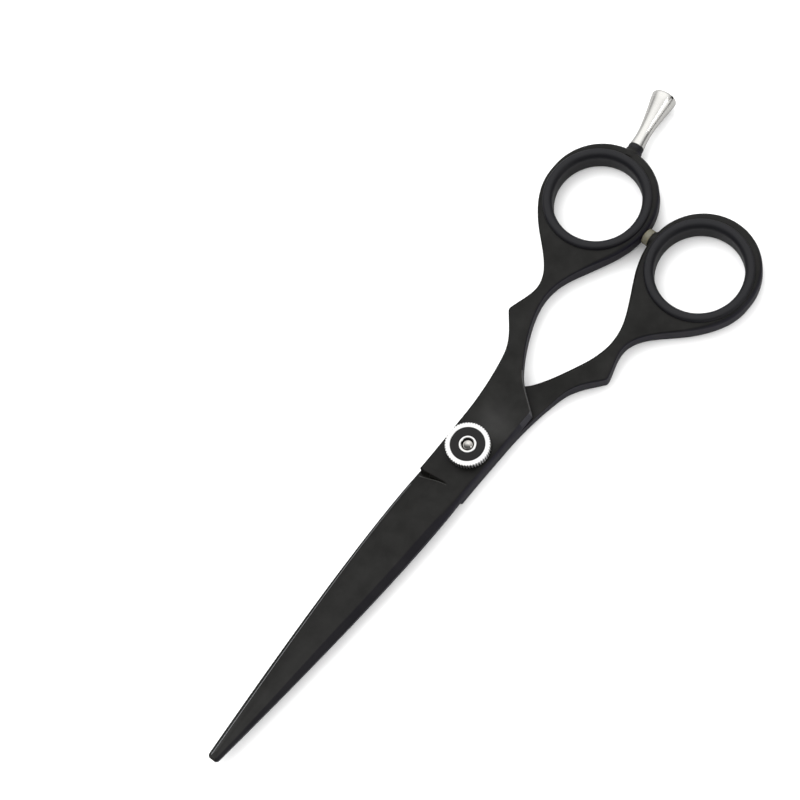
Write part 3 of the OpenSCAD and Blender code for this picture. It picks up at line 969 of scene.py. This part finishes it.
def tension_wheel():
    """Knurled wheel: chamfered teeth round the rim, a groove for the inlay and a raised hub ring."""
    low, high = wheel_low.z, wheel_high.z
    inlay_r = inlay_high.x
    hub_r, hole_r, groove = 2.13, 1.55, inlay_low.z - 0.02
    teeth, depth = 50, 0.28
    corners = [(hole_r, low + 0.1, 0), (hole_r + 0.1, low, 0), (WHEEL_R - 0.8, low, 0),
               (WHEEL_R - 0.2, low, 1), (WHEEL_R, low + 0.2, 1), (WHEEL_R, high - 0.1, 1),
               (WHEEL_R - 0.06, high, 1), (WHEEL_R - 0.5, high, 0), (inlay_r + 0.1, high, 0),
               (inlay_r + 0.02, high - 0.06, 0), (inlay_r + 0.02, groove, 0), (hub_r, groove, 0),
               (hub_r, high - 0.06, 0), (hub_r - 0.07, high, 0), (hole_r + 0.16, high, 0),
               (hole_r + 0.04, high - 0.12, 0), (hole_r, high - 0.16, 0)]

    def ripple(i, angle):
        wave = abs((teeth * angle / tau) % 1 - 0.5) * 2
        return -depth * corners[i][2] * max(0, wave - 0.4) / 0.6

    profile = [(r, z) for r, z, _ in corners]
    # painted shade: the bore wall and its small lower chamfer take the black inlay material, to look dark like the
    # gap round the bolt
    slots = [1 if i in (0, len(profile) - 1) else 0 for i in range(len(profile))]
    obj = turned("tension_wheel_knurled", profile, [NICKEL, INLAY], segments=teeth * 12, ripple=ripple,
                 slots=slots, sharp=32)
    return put_in_place(weighted_normals(obj), "tension_wheel", "wheel")


def wheel_inlay():
    """Black ring let into the wheel."""
    low, high = inlay_low.z, inlay_high.z
    inner, outer = 2.17, inlay_high.x
    profile = rounded([(inner, low, 0), (outer, low, 0), (outer, high, 0.06), (inner, high, 0.06)])
    obj = turned("wheel_inlay_ring", profile, [INLAY], segments=144)
    return put_in_place(obj, "wheel_inlay", "wheel")


def slot_tool(low):
    """Block that cuts the screwdriver slot into the bolt's head."""
    half_w, reach, depth = 0.45, 4.6, 0.55
    corners = ((-half_w, -reach), (half_w, -reach), (half_w, reach), (-half_w, reach))
    block = Shell()
    bottom, top = (block.ring([(x, y, z) for x, y in corners]) for z in (low - 1, low + depth))
    block.join(bottom, top)
    block.faces += [tuple(bottom), tuple(top)]
    block.slots += [0, 0]
    return make_object("slot_tool", block, [BOLT_STEEL])


def pivot_bolt():
    """Bolt with its slotted head below, journal, thread and the pointed end seen in the wheel. The
    neck between thread and point is painted black, as painted shade in the gap round it."""
    low, high = bolt_low.z, bolt_high.z
    head_r, head_t, journal_r, journal_top = 4.0, 1.35, 2.3, 2.8
    pitch, crest, root, thread_start, thread_end = 0.5, 1.5, 1.34, 2.95, high - 1.6
    profile = [(0.02, low), (head_r - 0.45, low), (head_r - 0.15, low + 0.06), (head_r, low + 0.25),
               (head_r, low + head_t), (journal_r, low + head_t), (journal_r, journal_top - 0.1),
               (journal_r - 0.1, journal_top), (crest, journal_top)]
    z = thread_start
    while z < thread_end:
        profile += [(crest, z), (root, z + pitch / 2)]
        z += pitch
    neck = len(profile)
    profile += [(1.2, z), (1.2, high - 0.85), (1.27, high - 0.8), (1.28, high - 0.68),
                (1.2, high - 0.58), (0.14, high - 0.02), (0.02, high)]
    # painted shade: the neck takes the black inlay material
    slots = [1 if i in (neck - 1, neck) else 0 for i in range(len(profile))]
    obj = turned("pivot_bolt_steel", profile, [BOLT_STEEL, INLAY], slots=slots)
    combine(obj, slot_tool(low), "DIFFERENCE")
    tidy_mesh(obj)
    return put_in_place(obj, "pivot_bolt", "thumb_half")


def wave_spring():
    """Spring ring with three waves, low enough to stay clear of the washer when the wheel is tight."""
    inner, outer, leaf, wave, waves, steps = 2.55, 3.95, 0.16, 0.085, 3, 120
    angles = np.arange(steps) / steps * tau
    shell = Shell()
    rows = [shell.ring([(r * cos(a), r * sin(a), spring_low.z + z + wave * (1 + sin(waves * a)))
                        for a in angles])
            for r, z in ((inner, 0), (outer, 0), (outer, leaf), (inner, leaf))]
    for row, following in zip(rows, rows[1:] + rows[:1]):
        shell.join(row, following)
    obj = make_object("wave_spring_ring", shell, [SPRING])
    return put_in_place(obj, "wave_spring", "thumb_half")


def dress_cad_node(node, material, bevel_mm):
    """Gives a CAD node that keeps its own shape a material and softened edges."""
    obj = frame["nodes"][node]
    obj.data.materials.clear()
    obj.data.materials.append(material)
    modifier = obj.modifiers.new("softened_edges", "BEVEL")
    modifier.width = bevel_mm * MM
    modifier.segments = 2
    modifier.limit_method = "ANGLE"
    modifier.angle_limit = radians(40)


upper_half = finger_half()
thumb_half()
ring_insert("finger_ring_insert", -1, "finger_half")
ring_insert("thumb_ring_insert", 1, "thumb_half")
bumper()
rest = finger_rest()
rest_washer()
tension_wheel()
wheel_inlay()
pivot_bolt()
dress_cad_node("pivot_bush", NYLON, 0.05)
dress_cad_node("thrust_washer", NYLON, 0.04)
wave_spring()
dress_cad_node("click_washer", SPRING, 0.03)


# ------------------------------------------------ floor, light and camera

def add_floor():
    """Plain white sheet under the shears, which looks grey in their reflections."""
    reach, gap = 3.0, 0.00002
    mesh = bpy.data.meshes.new("floor")
    mesh.from_pydata([(x * reach, y * reach, cad_low.z - gap)
                      for x, y in ((-1, -1), (1, -1), (1, 1), (-1, 1))], [], [(0, 1, 2, 3)])
    n = Nodes("white_sheet")
    paper = n.noise(60, 3)
    n.set(Base_Color=n.blend(paper, (0.86, 0.86, 0.86), (0.88, 0.88, 0.88)), Roughness=0.9,
          Specular_IOR_Level=0.1)
    mirrored = n.add("ShaderNodeBsdfDiffuse", {"Color": (0.3, 0.3, 0.3, 1)}).outputs[0]
    path = n.add("ShaderNodeLightPath").outputs["Is Glossy Ray"]
    choose = n.add("ShaderNodeMixShader", {0: path, 1: n.shader.outputs[0], 2: mirrored})
    n.link(choose.outputs[0], n.tree.nodes["Material Output"].inputs["Surface"])
    mesh.materials.append(n.material)
    add_object("floor", mesh)


# The camera: the point it looks at in mm, its distance in metres, and its angles in degrees
AIM = (-21.959, -0.186, 0.057)
DISTANCE = 0.7026
AZIMUTH, ELEVATION, ROLL = -29.328, 68.587, -22.137
LENS = 130.74


def view_axes():
    """The picture's right and up, and the direction back to the camera."""
    azimuth, elevation, roll = (radians(angle) for angle in (AZIMUTH, ELEVATION, ROLL))
    back = Vector((cos(elevation) * cos(azimuth), cos(elevation) * sin(azimuth), sin(elevation)))
    level = Vector((-sin(azimuth), cos(azimuth), 0))
    right = level * cos(roll) + back.cross(level) * sin(roll)
    return right, back.cross(right), back


VIEW_RIGHT, VIEW_UP, VIEW_BACK = view_axes()


def set_down(obj, place, axes):
    """Puts an object at a place, with its X, Y and Z along the three axes."""
    obj.location = place
    obj.rotation_mode = "QUATERNION"
    obj.rotation_quaternion = Matrix(axes).transposed().to_quaternion()


def add_area(name, target, away, size, power, along=VIEW_UP, mirrored=True, only=None):
    """Soft box aimed at a target in mm. It stands away from it by metres along the picture's right, up
    and back, its length follows a direction, and it may light a single object only."""
    light = bpy.data.lights.new(name, "AREA")
    light.shape = "RECTANGLE"
    light.size, light.size_y = size
    light.energy = power
    obj = add_object(name, light)
    stand = VIEW_RIGHT * away[0] + VIEW_UP * away[1] + VIEW_BACK * away[2]
    out = stand.normalized()
    long = (along - out * along.dot(out)).normalized()
    set_down(obj, to_metres(target) + stand, (long.cross(out), long, out))
    obj.visible_camera = False
    obj.visible_glossy = mirrored
    if only:
        lit = bpy.data.collections.new(name + "_lit")
        lit.objects.link(only)
        obj.light_linking.receiver_collection = lit


def add_world(strength, toward, low_at, high_at, low, high):
    """White surroundings. In reflections they are brightest in one direction and dim away from it."""
    world = bpy.data.worlds.new("studio")
    world.use_nodes = True
    tree = world.node_tree
    plain = tree.nodes["Background"]
    plain.inputs["Color"].default_value = (1, 1, 1, 1)
    plain.inputs["Strength"].default_value = strength
    mirrored = tree.nodes.new("ShaderNodeBackground")
    coords = tree.nodes.new("ShaderNodeTexCoord")
    along = tree.nodes.new("ShaderNodeVectorMath")
    along.operation = "DOT_PRODUCT"
    along.inputs[1].default_value = Vector(toward).normalized()
    level = tree.nodes.new("ShaderNodeMapRange")
    level.interpolation_type = "SMOOTHSTEP"
    path = tree.nodes.new("ShaderNodeLightPath")
    choose = tree.nodes.new("ShaderNodeMixShader")
    for key, value in (("From Min", low_at), ("From Max", high_at), ("To Min", low), ("To Max", high)):
        level.inputs[key].default_value = value
    for source, socket in ((coords.outputs["Generated"], along.inputs[0]),
                           (along.outputs["Value"], level.inputs["Value"]),
                           (level.outputs[0], mirrored.inputs["Strength"]),
                           (path.outputs["Is Glossy Ray"], choose.inputs[0]),
                           (plain.outputs[0], choose.inputs[1]),
                           (mirrored.outputs[0], choose.inputs[2]),
                           (choose.outputs[0], tree.nodes["World Output"].inputs["Surface"])):
        tree.links.new(source, socket)
    bpy.context.scene.world = world


def add_camera():
    """Camera at the photograph's viewing angle."""
    camera = bpy.data.cameras.new("camera")
    camera.sensor_width = 36
    camera.lens = LENS
    camera.clip_start, camera.clip_end = 0.01, 20
    obj = add_object("camera", camera)
    set_down(obj, to_metres(AIM) + VIEW_BACK * DISTANCE, (VIEW_RIGHT, VIEW_UP, VIEW_BACK))
    bpy.context.scene.camera = obj


add_floor()
add_world(strength=1.6, toward=(-0.35, 0.45, 0.82), low_at=0.25, high_at=0.95, low=0.12, high=1.5)
add_area("key_box", AIM, away=(-0.5, 0.7, 0.6), size=(1.1, 1.1), power=11, mirrored=False)
add_area("fill_box", AIM, away=(0.7, -0.2, 0.6), size=(0.4, 0.5), power=0.6)
add_area("rest_strip", REST_AT + REST_AXIS * 10, away=(0.21, -0.12, 0.55), size=(0.045, 0.5),
         power=1.0, along=REST_AXIS, only=rest)
add_area("lap_glow", (1.9, 8.3, HALF_T), away=(-0.0038, 0.0094, 0.0110), size=(0.003, 0.003),
         power=0.00042, only=upper_half)
add_camera()
bpy.context.scene.view_settings.view_transform = "Standard"
